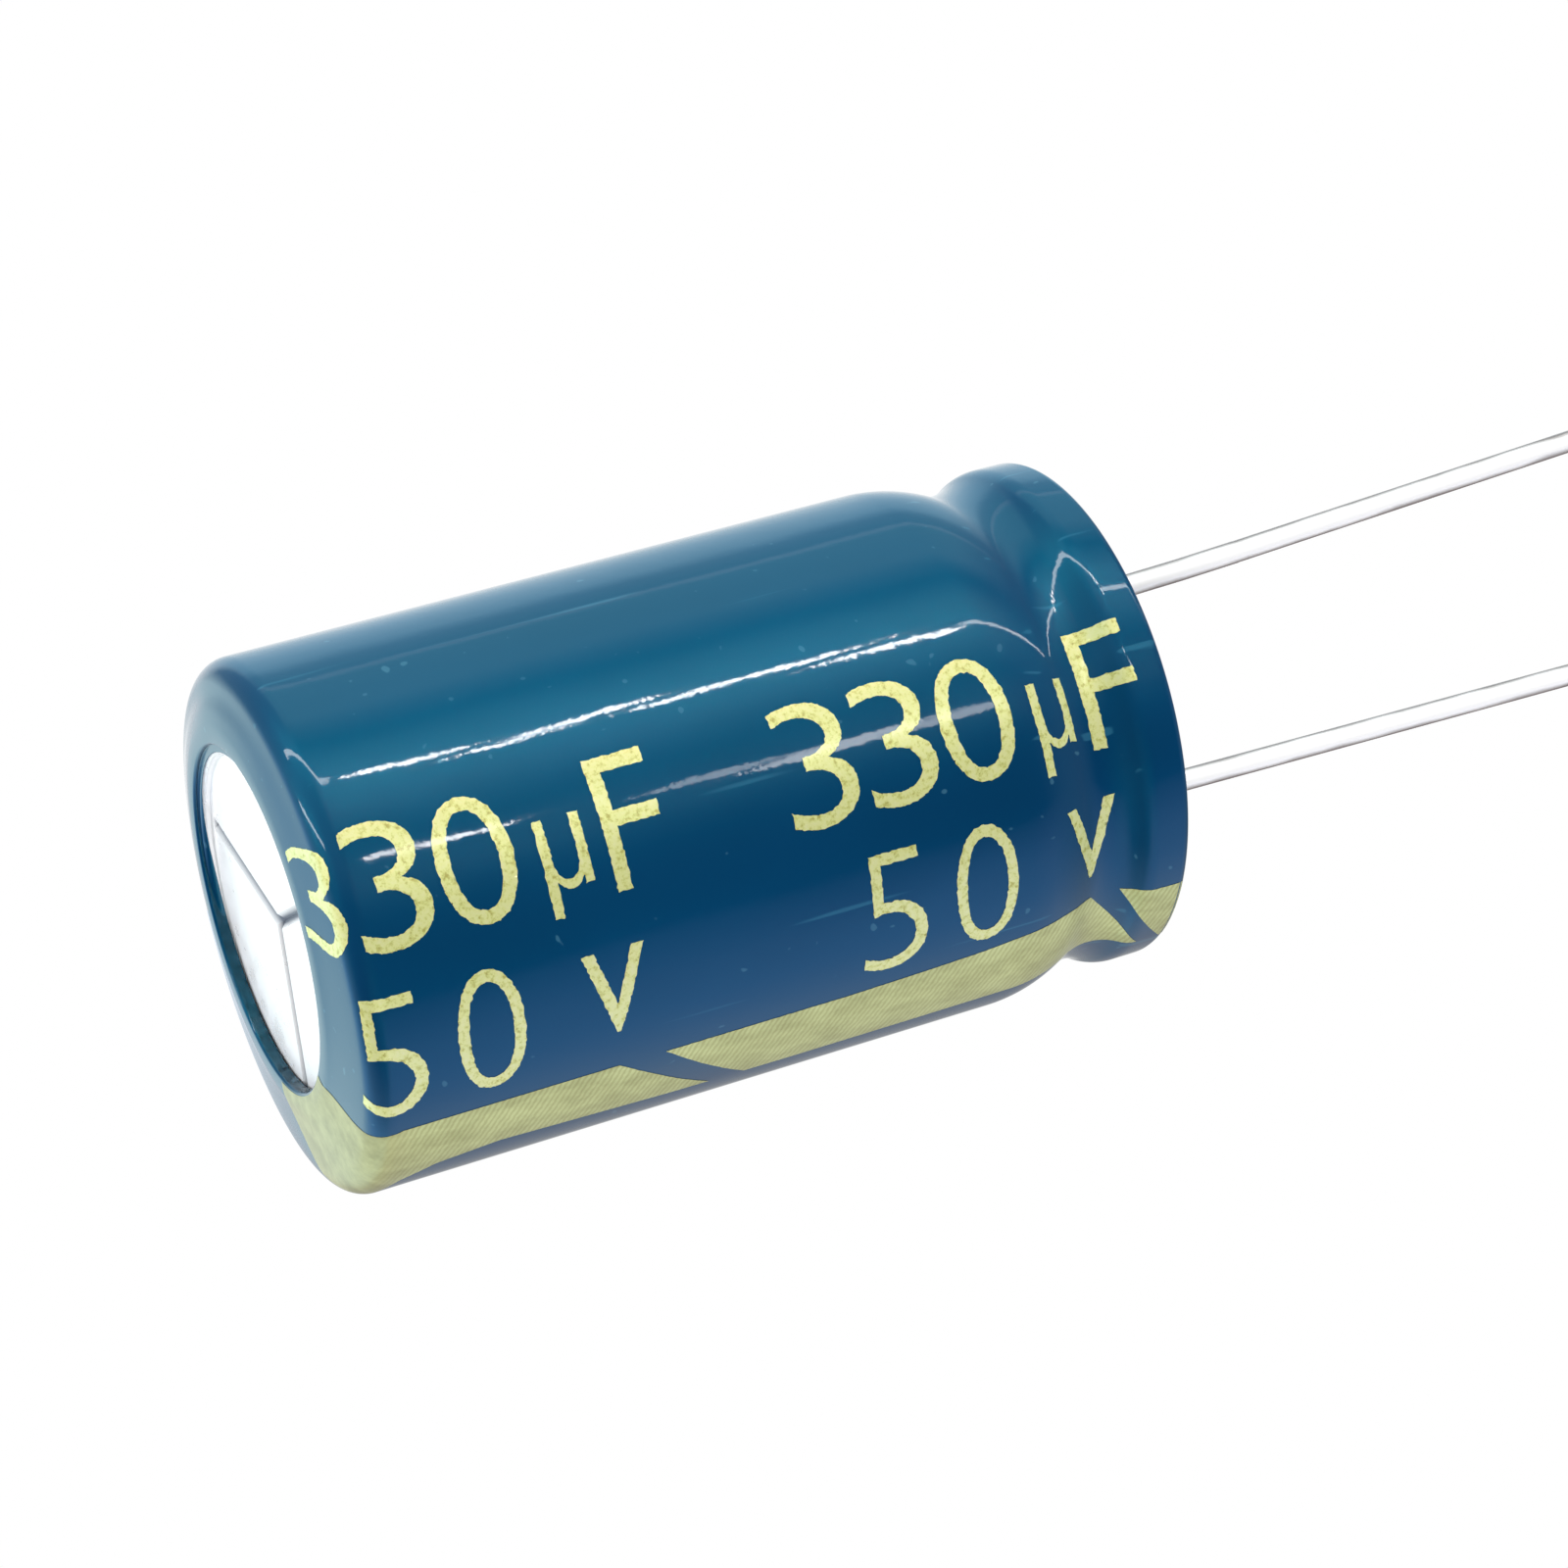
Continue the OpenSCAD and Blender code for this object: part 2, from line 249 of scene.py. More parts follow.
def on_film(along, angle):
    """A point just above the sleeve's skin: so far along its outline, and so far round its axis."""
    radius, z = np.interp(along, run, [p.x for p in skin]), np.interp(along, run, [p.y for p in skin])
    ahead = along + 0.02
    dr = np.interp(ahead, run, [p.x for p in skin]) - radius
    dz = np.interp(ahead, run, [p.y for p in skin]) - z
    size = max((dr * dr + dz * dz) ** 0.5, 1e-9)
    radius, z = radius + ink_lift * dz / size, z - ink_lift * dr / size
    return settle(Vector((radius * cos(angle), radius * sin(angle), z)))


def tile(bm, low, high, pitch, axis):
    """Cuts a flat mesh by planes a fixed pitch apart."""
    normal = Vector((0, 0, 0))
    normal[axis] = 1
    for at in np.arange(low + pitch / 2, high, pitch):
        bmesh.ops.bisect_plane(bm, geom=bm.verts[:] + bm.edges[:] + bm.faces[:], dist=1e-5,
                               plane_co=normal * float(at), plane_no=normal)


def shake(bm, reach):
    """Moves the outer edge of a flat print by a little, in and out."""
    for vert in bm.verts:
        if vert.is_boundary:
            push = noise.noise_vector(vert.co * 14) * reach
            vert.co += Vector((push.x, push.y, 0))


# %% Draw a letter
letter_tile, letter_shake = 0.08, 0.034


def letter(char, box, weight):
    """One letter as a flat mesh that fills a box: (left, right, bottom, top) in millimetres."""
    text = bpy.data.curves.new("letter", "FONT")
    text.body, text.offset, text.resolution_u = char, weight, 6
    writer = bpy.data.objects.new("letter", text)
    bpy.context.scene.collection.objects.link(writer)
    depsgraph = bpy.context.evaluated_depsgraph_get()
    flat = bpy.data.meshes.new_from_object(writer.evaluated_get(depsgraph))
    bpy.data.objects.remove(writer)
    shape = bmesh.new()
    shape.from_mesh(flat)
    bmesh.ops.remove_doubles(shape, verts=shape.verts, dist=1e-4)
    xs, ys = [v.co.x for v in shape.verts], [v.co.y for v in shape.verts]
    left, right, bottom, top = box
    for vert in shape.verts:
        vert.co.x = left + (right - left) * (vert.co.x - min(xs)) / (max(xs) - min(xs))
        vert.co.y = bottom + (top - bottom) * (vert.co.y - min(ys)) / (max(ys) - min(ys))
        vert.co.z = 0
    tile(shape, left, right, letter_tile, 0)
    tile(shape, bottom, top, letter_tile, 1)
    shake(shape, letter_shake)
    return shape


# %% Print the rating twice, each letter with its place along the film, its angles and its weight
film_r = can_r + snug + film
row_one = [("3", 11.0, 12.75, 68.5, 94.6, -0.008), ("3", 13.0, 14.75, 68.5, 94.6, -0.008),
           ("0", 15.0, 16.8, 68.5, 94.6, -0.008), ("µ", 17.35, 18.45, 77.5, 97.5, -0.004),
           ("F", 18.9, 20.3, 68.3, 95.5, -0.004)]
row_two = [("5", 12.35, 13.95, 103, 131, -0.014), ("0", 14.7, 16.3, 103, 131, -0.014),
           ("V", 17.75, 19.25, 106.5, 126, 0.014)]
print_pitch = 12.3
rating = bmesh.new()
for copy in (0, 1):
    for char, left, right, top, bottom, weight in row_one + row_two:
        box = (left - copy * print_pitch, right - copy * print_pitch,
               -radians(bottom) * film_r, -radians(top) * film_r)
        shape = letter(char, box, weight)
        for vert in shape.verts:
            vert.co = on_film(vert.co.x, -vert.co.y / film_r)
        part = bpy.data.meshes.new("part")
        shape.to_mesh(part)
        shape.free()
        rating.from_mesh(part)
        bpy.data.meshes.remove(part)
print("rating faces", len(rating.faces))
rating_print = new_piece("rating_print", rating)

# %% [markdown]
# A stripe marks the negative lead. It runs the whole length of the film, with a slanted break once in
# each printed repeat. It is a few flat quads, tiled and laid on the film just as the letters are.

# %% Edges of the stripe: place along the film and angle round it
upper_edge = [(-1.5, 148), (0, 139), (1, 136.2), (12, 136), (14, 135.4), (15.5, 134.7), (17.6, 132.6),
              (21, 133.6)]
lower_edge = [(-1.5, 200), (0, 190), (0.6, 172), (1.2, 160), (2, 155), (3.5, 152.5), (5, 153.5), (8, 155.5),
              (11, 156), (14, 155.7), (21, 154.5)]


def stripe_angle(along, side):
    """Angle between the upper (0) and lower (1) edge, which wander because the film twisted as it shrank."""
    upper, lower = (np.interp(along, *zip(*edge)) for edge in (upper_edge, lower_edge))
    return radians(upper + side * (lower - upper))


print("stripe is", round(degrees(stripe_angle(8, 1) - stripe_angle(8, 0)), 1), "degrees wide halfway")

# %% Print the stripe
edge_run = float(np.interp(opening_r + fold_r, [p.x for p in skin[11:22]], run[11:22]))
first, last = edge_run, float(run[-1]) - 0.06
breaks = [(6.25, 8.8, 7.4, 9.7), (18.6, 20.3, 19.4, 20.9)]
bands = [(first, first, breaks[0][0], breaks[0][1]), (breaks[0][2], breaks[0][3], breaks[1][0], breaks[1][1]),
         (breaks[1][2], breaks[1][3], last, last)]
stripe = bmesh.new()
for upper_start, lower_start, upper_end, lower_end in bands:
    band = bmesh.new()
    corners = [(upper_start, 0), (lower_start, -1), (lower_end, -1), (upper_end, 0)]
    band.faces.new([band.verts.new((x, y, 0)) for x, y in corners])
    tile(band, min(upper_start, lower_start), max(upper_end, lower_end), 0.12, 0)
    tile(band, -1, 0, 0.06, 1)
    for vert in band.verts:
        angle = stripe_angle(vert.co.x, -vert.co.y)
        if vert.is_boundary:
            angle += 0.002 * noise.noise(Vector((vert.co.x * 6, vert.co.y * 6, 3)))
        vert.co = on_film(vert.co.x, angle)
    part = bpy.data.meshes.new("part")
    band.to_mesh(part)
    band.free()
    stripe.from_mesh(part)
    bpy.data.meshes.remove(part)
print("stripe faces", len(stripe.faces))
stripe_print = new_piece("stripe_print", stripe)

# %% [markdown]
# Finishes. Each one is a short node tree on the Principled shader. A small helper makes nodes and wires
# them in one line, so that a finish reads like a recipe.

# %% Node helpers
def finish(name, colour, metal=0.0, rough=0.4):
    """A new material, its tree and its shader, with the plain numbers set."""
    material = bpy.data.materials.new(name)
    material.use_nodes = True
    tree = material.node_tree
    shader = tree.nodes["Principled BSDF"]
    shader.inputs["Base Color"].default_value = (*colour, 1)
    shader.inputs["Metallic"].default_value = metal
    shader.inputs["Roughness"].default_value = rough
    return material, tree, shader


def add(tree, kind, values=None, **settings):
    """A node with its settings, and its inputs given as numbers or as sockets to wire in."""
    node = tree.nodes.new(kind)
    for key, value in settings.items():
        setattr(node, key, value)
    for key, value in (values or {}).items():
        if isinstance(value, bpy.types.NodeSocket):
            tree.links.new(value, node.inputs[key])
        else:
            node.inputs[key].default_value = value
    return node


def ramp(tree, fac, stops):
    """A colour ramp: stops are (position, colour) with a grey level or a colour."""
    node = add(tree, "ShaderNodeValToRGB", {"Fac": fac})
    elements = node.color_ramp.elements
    while len(elements) < len(stops):
        elements.new(0.5)
    for element, (at, colour) in zip(elements, stops):
        element.position = at
        element.color = (colour, colour, colour, 1) if isinstance(colour, (int, float)) else (*colour, 1)
    return node.outputs["Color"]


def worked(tree, operation, a, b, clamp=False):
    """The result of a Math node on two numbers or sockets."""
    return add(tree, "ShaderNodeMath", {0: a, 1: b}, operation=operation, use_clamp=clamp).outputs[0]


def spread(tree, value, low, high):
    """A value mapped from low and high to 0 and 1, and held there."""
    values = {"Value": value, "From Min": low, "From Max": high}
    return add(tree, "ShaderNodeMapRange", values).outputs["Result"]


def height_up(tree):
    """How far up the capacitor a point is, in metres."""
    place = add(tree, "ShaderNodeTexCoord").outputs["Object"]
    return add(tree, "ShaderNodeSeparateXYZ", {"Vector": place}).outputs["Z"]


def grain(tree, stretch, scale, detail=2.0, roughness=0.5):
    """Noise in object space, stretched along the three axes, with its scale per metre."""
    place = add(tree, "ShaderNodeTexCoord").outputs["Object"]
    wide = add(tree, "ShaderNodeMapping", {"Vector": place, "Scale": stretch}).outputs["Vector"]
    return add(tree, "ShaderNodeTexNoise", {"Vector": wide, "Scale": scale, "Detail": detail,
                                            "Roughness": roughness}).outputs["Fac"]


def bump(tree, height, distance, below=None):
    """A bump of a given depth in metres, over an earlier one if there is any."""
    values = {"Height": height, "Distance": distance, "Strength": 1.0}
    if below:
        values["Normal"] = below
    return add(tree, "ShaderNodeBump", values).outputs["Normal"]


def mixed(tree, fac, a, b):
    """Two colours mixed by a mask."""
    return add(tree, "ShaderNodeMix", {0: fac, 6: a, 7: b}, data_type="RGBA").outputs[2]


# %% [markdown]
# The film is deep blue-green and clear enough to let the bright can behind it glint through. Two layers
# say that: a rough one tinted teal for the metal behind, and a clear coat for the film's own gloss. The
# roll, the press and the shrinking leave soft waves in it, which break a lamp's shine into short streaks.
# Dust and hair scratches show as faint pale marks.

# %% Film surface, a node group that the film and its print share
film_surface = bpy.data.node_groups.new("film surface", "ShaderNodeTree")
film_surface.interface.new_socket("Wave scale", in_out="INPUT", socket_type="NodeSocketFloat")
for height_name in ("Waves", "Ripple", "Fine"):
    film_surface.interface.new_socket(height_name, in_out="OUTPUT", socket_type="NodeSocketFloat")
wave_scale = film_surface.nodes.new("NodeGroupInput").outputs["Wave scale"]
add(film_surface, "NodeGroupOutput", {"Waves": grain(film_surface, (1, 1, 0.7), wave_scale, 1.0),
                                      "Ripple": grain(film_surface, (1, 1, 1), 2600, 2.0),
                                      "Fine": grain(film_surface, (1, 1, 1), 9000, 2.0)})
print("film surface gives", [item.name for item in film_surface.interface.items_tree])


# %% Film finish
def cover(tree, shader):
    """Puts the film's surface on both layers of a shader: what is under the gloss and the gloss itself."""
    heights = add(tree, "ShaderNodeGroup", {"Wave scale": 330.0}, node_tree=film_surface).outputs
    normal = bump(tree, heights["Waves"], 2.4e-5)
    normal = bump(tree, heights["Ripple"], 2e-6, below=normal)
    normal = bump(tree, heights["Fine"], 5e-7, below=normal)
    tree.links.new(normal, shader.inputs["Normal"])
    tree.links.new(normal, shader.inputs["Coat Normal"])


film_finish, tree, shader = finish("shrink_film", (0.0004, 0.02, 0.08), rough=0.42)
shader.inputs["IOR"].default_value = 2.26
shader.inputs["Specular Tint"].default_value = (0.02, 0.8, 1.0, 1)
shader.inputs["Coat Weight"].default_value = 1.0
shader.inputs["Coat Roughness"].default_value = 0.045
tint = ramp(tree, grain(tree, (1, 1, 0.5), 260, 2.0),
            [(0.3, (0.0003, 0.0165, 0.071)), (0.7, (0.0006, 0.0215, 0.085))])
dust = ramp(tree, grain(tree, (1, 1, 1), 3300, 0.0), [(0.82, 0.0), (0.85, 0.3)])
scratches = ramp(tree, grain(tree, (1, 1, 0.03), 4200, 0.0), [(0.79, 0.0), (0.83, 0.25)])
tint = mixed(tree, dust, tint, (0.08, 0.2, 0.28, 1))
tint = mixed(tree, scratches, tint, (0.05, 0.2, 0.3, 1))
tree.links.new(tint, shader.inputs["Base Color"])
cover(tree, shader)
sleeve.data.materials.append(film_finish)
print(film_finish.name, "has", len(tree.nodes), "nodes")

# %% [markdown]
# The rating's ink is a gold pigment in clear varnish: half metal, half paint, and grainy where the film took
# it up unevenly. It lies on the film, so it shares the film's waves.

# %% Gold ink for the rating
ink_finish, tree, shader = finish("gold_ink", (0.88, 0.97, 0.48), metal=0.6, rough=0.34)
shader.inputs["Coat Weight"].default_value = 0.7
shader.inputs["Coat Roughness"].default_value = 0.1
speckle = grain(tree, (1, 1, 1), 7000, 3.0, 0.7)
tint = ramp(tree, speckle, [(0.3, (0.6, 0.56, 0.14)), (0.4, (0.8, 0.83, 0.28)),
                            (0.5, (0.94, 0.97, 0.4)), (0.7, (0.98, 1.0, 0.52))])
tree.links.new(tint, shader.inputs["Base Color"])
cover(tree, shader)
rating_print.data.materials.append(ink_finish)
print(ink_finish.name, "has", len(tree.nodes), "nodes")

# %% [markdown]
# The stripe is printed through a diagonal screen, which shows as fine slanted lines on the side of the can.
# Where the film folds over the corner, the ink is stretched and rubbed, so the lines fade into a duller
# mottle there. A mask by height blends the two.

# %% Gold ink with the press's diagonal screen for the stripe
stripe_finish, tree, shader = finish("stripe_ink", (0.6, 0.62, 0.34), metal=0.5, rough=0.38)
shader.inputs["Coat Weight"].default_value = 0.7
shader.inputs["Coat Roughness"].default_value = 0.1
place = add(tree, "ShaderNodeTexCoord").outputs["Object"]
tilted = add(tree, "ShaderNodeMapping", {"Vector": place, "Rotation": (0, radians(32), 0)}).outputs["Vector"]
screen = add(tree, "ShaderNodeTexWave", {"Vector": tilted, "Scale": 2400.0, "Distortion": 2.0, "Detail": 2.0,
                                         "Detail Scale": 2.0}, bands_direction="Z").outputs["Fac"]
blotch = grain(tree, (1, 1, 0.6), 1500, 4.0, 0.65)
pale = ramp(tree, blotch, [(0.35, (0.5, 0.54, 0.22)), (0.65, (0.68, 0.74, 0.33))])
dark = ramp(tree, blotch, [(0.35, (0.42, 0.43, 0.16)), (0.65, (0.56, 0.6, 0.24))])
worn = ramp(tree, blotch, [(0.35, (0.33, 0.32, 0.11)), (0.65, (0.5, 0.5, 0.2))])
up_the_side = spread(tree, height_up(tree), 0.4 * MM, 1.4 * MM)
screened = mixed(tree, ramp(tree, screen, [(0.25, 1.0), (0.6, 0.0)]), pale, dark)
tree.links.new(mixed(tree, up_the_side, worn, screened), shader.inputs["Base Color"])
cover(tree, shader)
stripe_print.data.materials.append(stripe_finish)
print(stripe_finish.name, "has", len(tree.nodes), "nodes")

# %% [markdown]
# The metal and rubber parts keep their CAD solids. The can is drawn from bright sheet, with a satin sheen.
# The score lines of its vent are too shallow to shade much in soft light, so shade is painted into them:
# the metal is darkened by a mask on its height, deeper than the floor of the recess but not yet the inside of
# the can.

# %% Finish of the can
def dress(node, material):
    """Puts one material on a CAD node, in place of what the pack gave it."""
    mesh = nodes[node].data
    mesh.materials.clear()
    mesh.materials.append(material)
    for face in mesh.polygons:
        face.material_index = 0


can_finish, tree, shader = finish("drawn_aluminium", (0.95, 0.96, 0.97), metal=0.4, rough=0.32)
sheen = ramp(tree, grain(tree, (1, 1, 1), 1500, 3.0), [(0.35, 0.26), (0.65, 0.4)])
depth = height_up(tree)
# Painted shade in the score lines: dark where the metal lies just below the recess floor.
groove = spread(tree, depth, (recess_z + 0.02) * MM, (recess_z + 0.12) * MM)
inside = worked(tree, "GREATER_THAN", depth, (recess_z + 0.35) * MM)
painted_groove_shade = worked(tree, "SUBTRACT", groove, inside, clamp=True)
tree.links.new(mixed(tree, painted_groove_shade, (0.95, 0.96, 0.97, 1), (0.2, 0.23, 0.28, 1)), shader.inputs["Base Color"])
tree.links.new(sheen, shader.inputs["Roughness"])
tree.links.new(bump(tree, grain(tree, (1, 1, 1), 5200, 2.0), 1.5e-6), shader.inputs["Normal"])
dress("can", can_finish)
print(can_finish.name, "has", len(tree.nodes), "nodes")

# %% [markdown]
# The leads are tinned wire, pulled through a die, with fine lines along them and slight lumps where the tin
# is thick. Among bright walls such a wire would look white all over, so a reflection is painted into its
# colour: it darkens towards its edges, where a polished wire mirrors the dark part of a room.

# %% Finish of the leads
lead_finish, tree, shader = finish("tinned_wire", (0.88, 0.88, 0.88), metal=0.2, rough=0.25)
pulled = grain(tree, (1, 1, 0.05), 9000, 2.0)
lumps = grain(tree, (1, 1, 0.5), 1400, 2.0)
normal = bump(tree, lumps, 1.2e-5)
tree.links.new(bump(tree, pulled, 1.5e-6, below=normal), shader.inputs["Normal"])
# Painted reflection: the base colour darkens where the wire turns away from the view, and the lumps make it
# uneven.
facing = add(tree, "ShaderNodeLayerWeight", {"Blend": 0.5}).outputs["Facing"]
edge = worked(tree, "ADD", facing, worked(tree, "MULTIPLY", lumps, 0.4))
tint = ramp(tree, edge, [(0.5, 0.88), (0.66, (0.5, 0.49, 0.48)), (0.85, (0.2, 0.17, 0.16))])
tree.links.new(tint, shader.inputs["Base Color"])
for node in ("anode_lead", "cathode_lead"):
    dress(node, lead_finish)
print(lead_finish.name, "has", len(tree.nodes), "nodes")

# %% [markdown]
# The bung is moulded rubber: dark, dull and slightly rough. The pieces inside the can are never seen, but
# they get a finish each, for anyone who opens the model. The roll shows its turns as rings on its ends.

# %% Finish of the bung
bung_finish, tree, shader = finish("moulded_rubber", (0.022, 0.022, 0.024), rough=0.62)
tree.links.new(bump(tree, grain(tree, (1, 1, 1), 6000, 4.0), 6e-6), shader.inputs["Normal"])
dress("bung", bung_finish)

# %% Finishes inside the can
roll_finish, tree, shader = finish("foil_and_paper", (0.6, 0.55, 0.42), rough=0.7)
place = add(tree, "ShaderNodeTexCoord").outputs["Object"]
turns = add(tree, "ShaderNodeTexWave", {"Vector": place, "Scale": 2200.0}, wave_type="RINGS",
            rings_direction="Z").outputs["Fac"]
tree.links.new(ramp(tree, turns, [(0.3, (0.62, 0.58, 0.48)), (0.6, (0.42, 0.41, 0.38))]),
               shader.inputs["Base Color"])
dress("winding", roll_finish)

tape_finish, tree, shader = finish("winding_tape", (0.62, 0.42, 0.12), rough=0.35)
tree.links.new(bump(tree, grain(tree, (1, 1, 0.2), 1500, 2.0), 4e-6), shader.inputs["Normal"])
dress("winding_tape", tape_finish)

terminal_finish, tree, shader = finish("pressed_aluminium", (0.78, 0.79, 0.81), metal=1.0, rough=0.35)
tree.links.new(bump(tree, grain(tree, (1, 1, 0.3), 4000, 2.0), 3e-6), shader.inputs["Normal"])
for node in ("anode_terminal", "cathode_terminal"):
    dress(node, terminal_finish)
print("finishes:", [material.name for material in bpy.data.materials if material.users])

# %% [markdown]
# The studio. The camera sees plain white. A shiny can is a picture of the room round it, so the world has
# a room for reflections only: a colour for each direction round the can, from bright paper above and
# below to a dim side where the photographer stands, and another for what the closed end sees.

# %% Room for reflections: colours by direction round the can, in degrees, and by direction of view
world = bpy.data.worlds.new("studio")
bpy.context.scene.world = world
world.use_nodes = True
tree = world.node_tree
tree.nodes.clear()
ray = add(tree, "ShaderNodeLightPath").outputs
way = add(tree, "ShaderNodeTexCoord").outputs["Generated"]


def towards(direction):
    """How far a ray points in a direction, from -1 to 1."""
    dot = add(tree, "ShaderNodeVectorMath", {0: way, 1: tuple(direction)}, operation="DOT_PRODUCT")
    return dot.outputs["Value"]


first_wall = -95
upright = Vector((0, 0, 1))
front_angle = radians(85)
front = Vector((cos(front_angle), sin(front_angle), 0))
azimuth = worked(tree, "ARCTAN2", towards(upright.cross(front)), towards(front))
walls = [(first_wall, 1.0), (-80, (0.93, 0.98, 1.0)), (-72, (0.74, 0.88, 0.95)), (-60, (0.57, 0.8, 0.92)),
         (-45, (0.5, 0.8, 0.94)), (-38, (0.25, 0.42, 0.5)), (-29, (0.22, 0.42, 0.48)), (-27, (0.7, 0.9, 1.0)),
         (-24.5, (0.28, 0.56, 0.6)), (-4, (0.4, 0.64, 0.68)), (4, (0.17, 0.29, 0.33)), (11, 0.0),
         (18, (0.16, 0.1, 0.12)), (27, (0.38, 0.22, 0.24)), (44, (0.38, 0.19, 0.22)),
         (52, (0.19, 0.15, 0.17)), (60, 0.08), (70, 0.2), (78, 0.2), (84, 0.08), (92, 0.02), (126, 0.0),
         (131, (0.1, 0.11, 0.2)), (140, (0.19, 0.2, 0.36)), (150, (0.28, 0.3, 0.5)),
         (165, (0.32, 0.36, 0.6)), (185, (0.45, 0.45, 0.62)), (205, (0.48, 0.47, 0.52)),
         (226, (0.33, 0.31, 0.33)), (250, 0.38), (258, 0.7), (265, (0.8, 0.9, 1.0))]
round_about = ramp(tree, spread(tree, azimuth, -pi, pi),
                   [((at - first_wall) / 360, level) for at, level in walls])
beside = ramp(tree, spread(tree, towards(picture_back), -1, 1),
              [(0.2, (0.8, 1.0, 1.0)), (0.35, (0.42, 0.61, 0.96)), (0.5, 0.25), (0.7, 0.03)])
below = spread(tree, towards(-upright), 0.05, 0.25)
corner_side = worked(tree, "MULTIPLY", spread(tree, towards((1, 0, 0)), 0.1, 0.35),
                     spread(tree, towards(upright), -0.06, -0.2))
seen = mixed(tree, corner_side, mixed(tree, below, round_about, beside), (0.16, 0.24, 0.3, 1))
seen = mixed(tree, spread(tree, towards(upright), 0.6, 0.85), seen, (0.12, 0.16, 0.2, 1))
print("the room has", len(walls), "colours round the can")

# %% World: white to the camera, plain light for dull surfaces, the room for shiny ones
glow = ramp(tree, spread(tree, towards(picture_up), -1, 1), [(0.0, 0.35), (1.0, 0.9)])
lit = add(tree, "ShaderNodeBackground", {"Color": glow, "Strength": 1.0}).outputs[0]
mirrored = add(tree, "ShaderNodeBackground", {"Color": seen, "Strength": 1.0}).outputs[0]
white = add(tree, "ShaderNodeBackground", {"Color": (1, 1, 1, 1), "Strength": 1.0}).outputs[0]
shiny = worked(tree, "MAXIMUM", ray["Is Glossy Ray"], ray["Is Transmission Ray"])
soft = add(tree, "ShaderNodeMixShader", {0: shiny, 1: lit, 2: mirrored}).outputs[0]
whole = add(tree, "ShaderNodeMixShader", {0: ray["Is Camera Ray"], 1: soft, 2: white}).outputs[0]
add(tree, "ShaderNodeOutputWorld", {"Surface": whole})
print("world nodes", len(tree.nodes))

# %% [markdown]
# The capacitor stands on a pale floor. The camera looks up from below it, so its underside lets everything
# through, and only a camera above sees it.

# %% Floor
floor_reach, floor_drop = 1500, 0.01
bm = bmesh.new()
bmesh.ops.create_grid(bm, x_segments=1, y_segments=1, size=floor_reach)
bmesh.ops.translate(bm, verts=bm.verts, vec=(0, 0, -floor_drop))
bmesh.ops.scale(bm, vec=(MM, MM, MM), verts=bm.verts)
floor_mesh = bpy.data.meshes.new("floor")
bm.to_mesh(floor_mesh)
bm.free()
floor = bpy.data.objects.new("floor", floor_mesh)
bpy.context.scene.collection.objects.link(floor)
floor_finish, tree, shader = finish("pale_floor", (0.86, 0.86, 0.86), rough=0.9)
under = add(tree, "ShaderNodeNewGeometry").outputs["Backfacing"]
straight_in = add(tree, "ShaderNodeLightPath").outputs["Is Camera Ray"]
shown = worked(tree, "SUBTRACT", straight_in, under, clamp=True)
clear = add(tree, "ShaderNodeBsdfTransparent").outputs[0]
one_sided = add(tree, "ShaderNodeMixShader", {0: shown, 1: clear, 2: shader.outputs[0]}).outputs[0]
tree.links.new(one_sided, tree.nodes["Material Output"].inputs["Surface"])
floor_mesh.materials.append(floor_finish)
print("floor reaches", floor_reach * MM, "m each way")

# %% [markdown]
# Narrow lamps draw the long streaks. Each is placed by mirroring the camera's ray at the place on the film
# where its streak has to show. Soft boxes light the colours, and don't show in the film.

# %% Lamp helpers
lamp_reach = 0.25
middle = Vector((0, 0, 0.011))


def lamp(name, spot, turn, width, height, watts, glossy=True, diffuse=True):
    """An area lamp at a spot, turned by a rotation whose third axis points away from what it lights."""
    data = bpy.data.lights.new(name, "AREA")
    data.shape, data.size, data.size_y, data.energy = "RECTANGLE", width, height, watts
    thing = bpy.data.objects.new(name, data)
    bpy.context.scene.collection.objects.link(thing)
    thing.matrix_world = Matrix.Translation(spot) @ turn.to_4x4()
    thing.visible_glossy, thing.visible_diffuse = glossy, diffuse


def mirror_spot(z, angle, tilt=0):
    """Where a lamp shows on the can's side, or on its corner when tilted, by the mirrored camera ray."""
    a, t = radians(angle), radians(tilt)
    outward = Vector((cos(a) * cos(t), sin(a) * cos(t), -sin(t)))
    place = (outward * (corner_r + film + snug) + Vector((corner.x * cos(a), corner.x * sin(a), z))) * MM
    back = (camera.location - place).normalized()
    return place + (2 * outward.dot(back) * outward - back) * lamp_reach


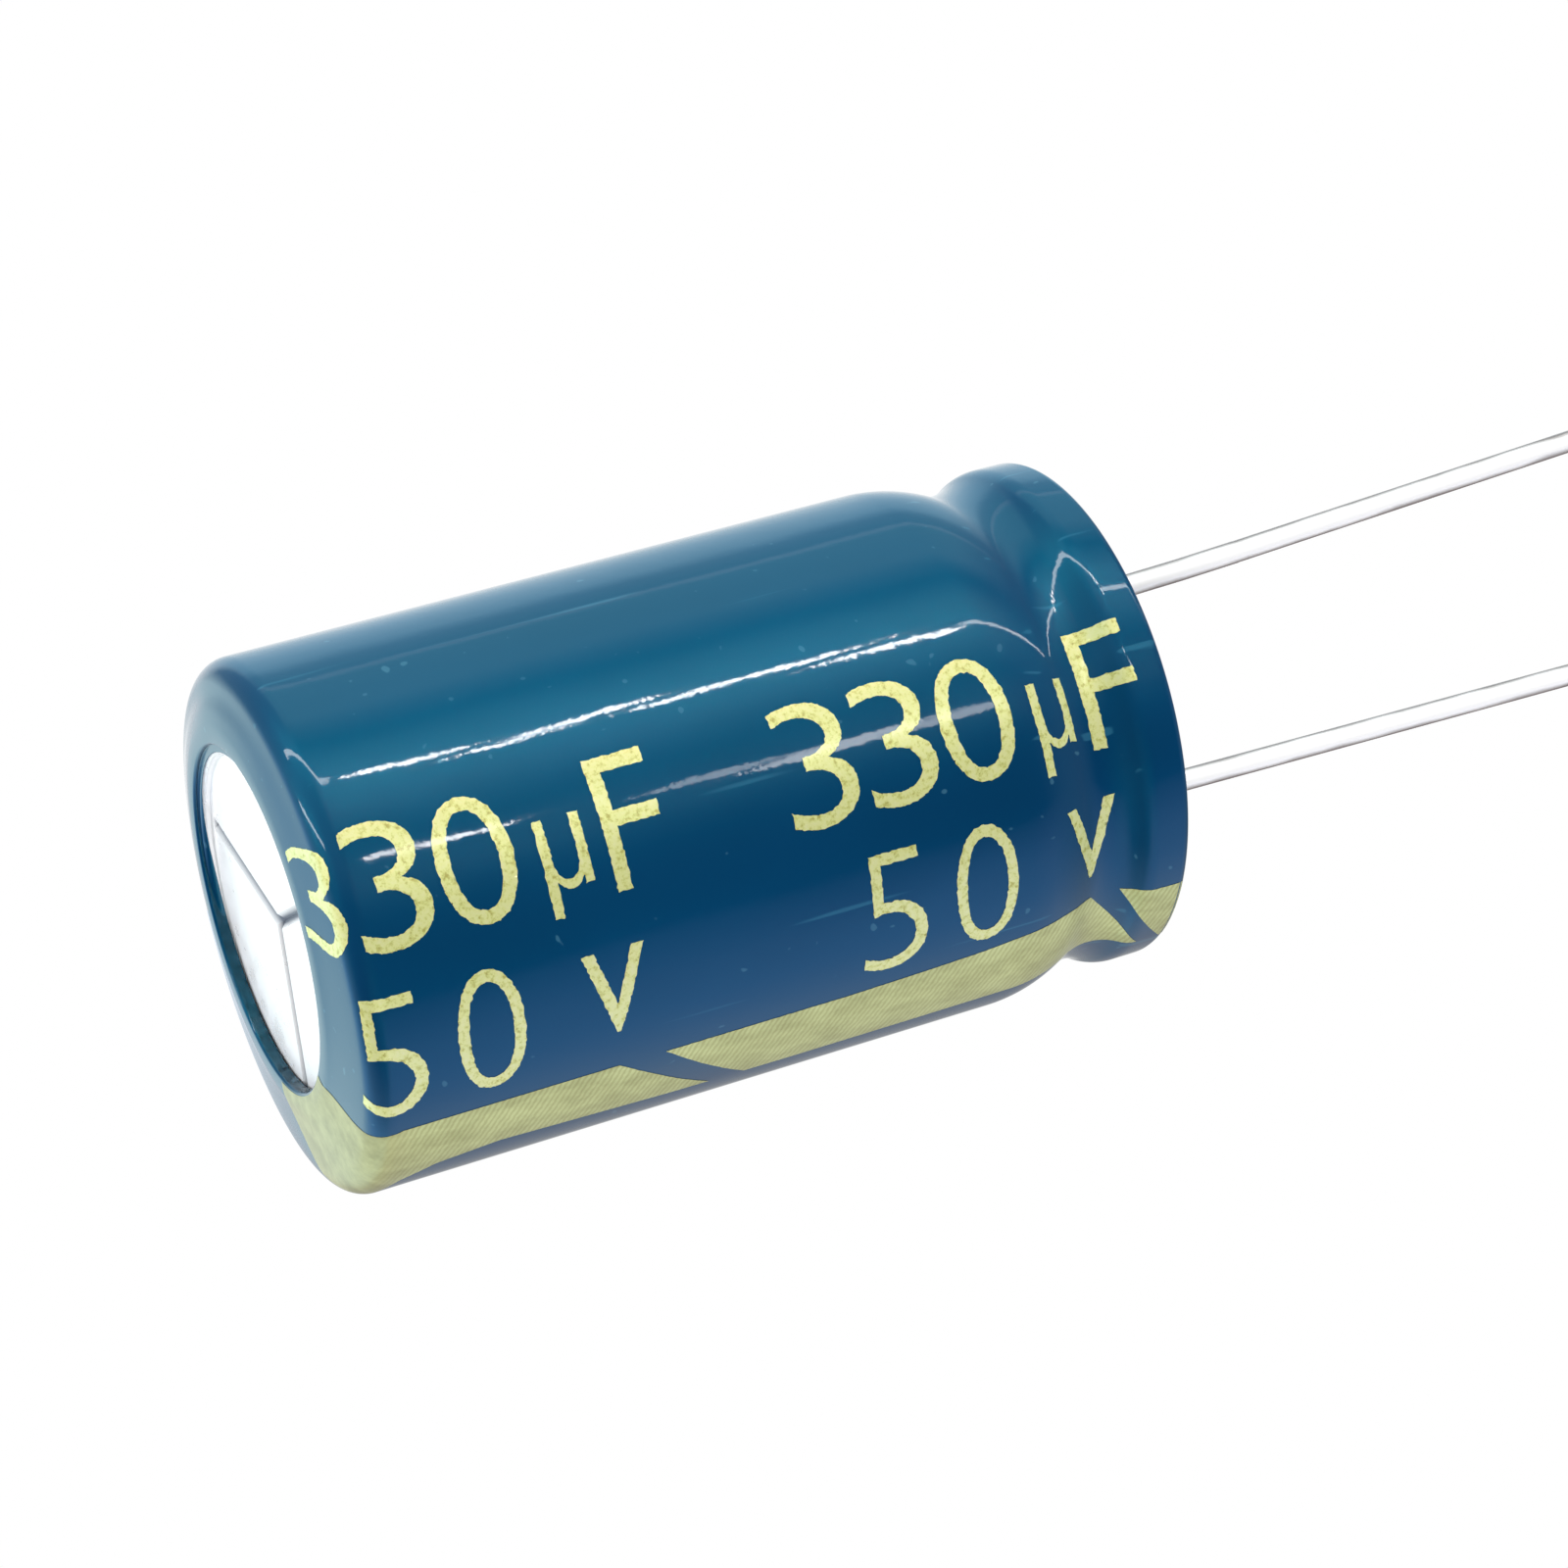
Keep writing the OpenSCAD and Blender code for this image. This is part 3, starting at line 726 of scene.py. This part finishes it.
def strip(name, a, b, width, shine):
    """A narrow lamp between two spots, seen only as a streak. Its shine is how bright it looks."""
    long_way = (b - a).normalized()
    away = (((a + b) / 2 - middle) - ((a + b) / 2 - middle).dot(long_way) * long_way).normalized()
    turn = Matrix((long_way.cross(away), long_way, away)).transposed()
    length = (b - a).length
    lamp(name, (a + b) / 2, turn, width, length, shine * pi * width * length, diffuse=False)


def softbox(name, spot, size, watts):
    """A square lamp at a spot, in metres, turned to the can."""
    away = (Vector(spot) - middle).normalized()
    side = picture_right.cross(away).normalized()
    turn = Matrix((side, away.cross(side), away)).transposed()
    lamp(name, Vector(spot), turn, size, size, watts, glossy=False)


# %% Place the lamps: spots on the film are (height in mm, angle in degrees), or (angle, tilt) on its corner
softbox("key", (0.28, 0.12, 0.1), 0.2, 1.2)
softbox("fill", (-0.2, 0.22, -0.05), 0.25, 0.85)
softbox("end light", (0.05, -0.08, -0.28), 0.2, 0.9)
tubes = [((1.5, 58.0), (4.1, 58.9)), ((4.3, 60.1), (6.2, 60.1)), ((6.2, 59.6), (8.3, 58.6)),
         ((8.2, 60.4), (10.0, 60.4)), ((9.9, 60.0), (12.1, 59.9)), ((11.9, 60.3), (13.6, 60.0)),
         ((13.5, 61.4), (16.3, 62.6))]
for start, end in tubes:
    strip("tube", mirror_spot(*start), mirror_spot(*end), 0.006, 27)
strip("tube above", mirror_spot(16.6, 61.5), mirror_spot(16.6, 61.5) + 0.5 * upright, 0.008, 8)
corner_tubes = [((58, 1), (55.5, 6)), ((55.5, 6), (49, 40)), ((71, 37), (60, 55))]
for start, end in corner_tubes:
    strip("tube below", mirror_spot(corner.y, *start), mirror_spot(corner.y, *end), 0.012, 7)
strip("near tube", mirror_spot(2.6, 76.2), mirror_spot(3.9, 76.8), 0.006, 25)
strip("near tube", mirror_spot(0.9, 75.4), mirror_spot(1.9, 76.2), 0.004, 20)
windows = [((8.4, 78.0), (10.7, 78.6), 0.01, 5), ((11.0, 78.9), (14.1, 79.6), 0.015, 8),
           ((14.4, 79.5), (16.7, 80.4), 0.012, 6)]
for start, end, width, shine in windows:
    strip("window", mirror_spot(*start), mirror_spot(*end), width, shine)

# %% [markdown]
# The last step brings the scene up to date.

# %% Finish
bpy.context.view_layer.update()
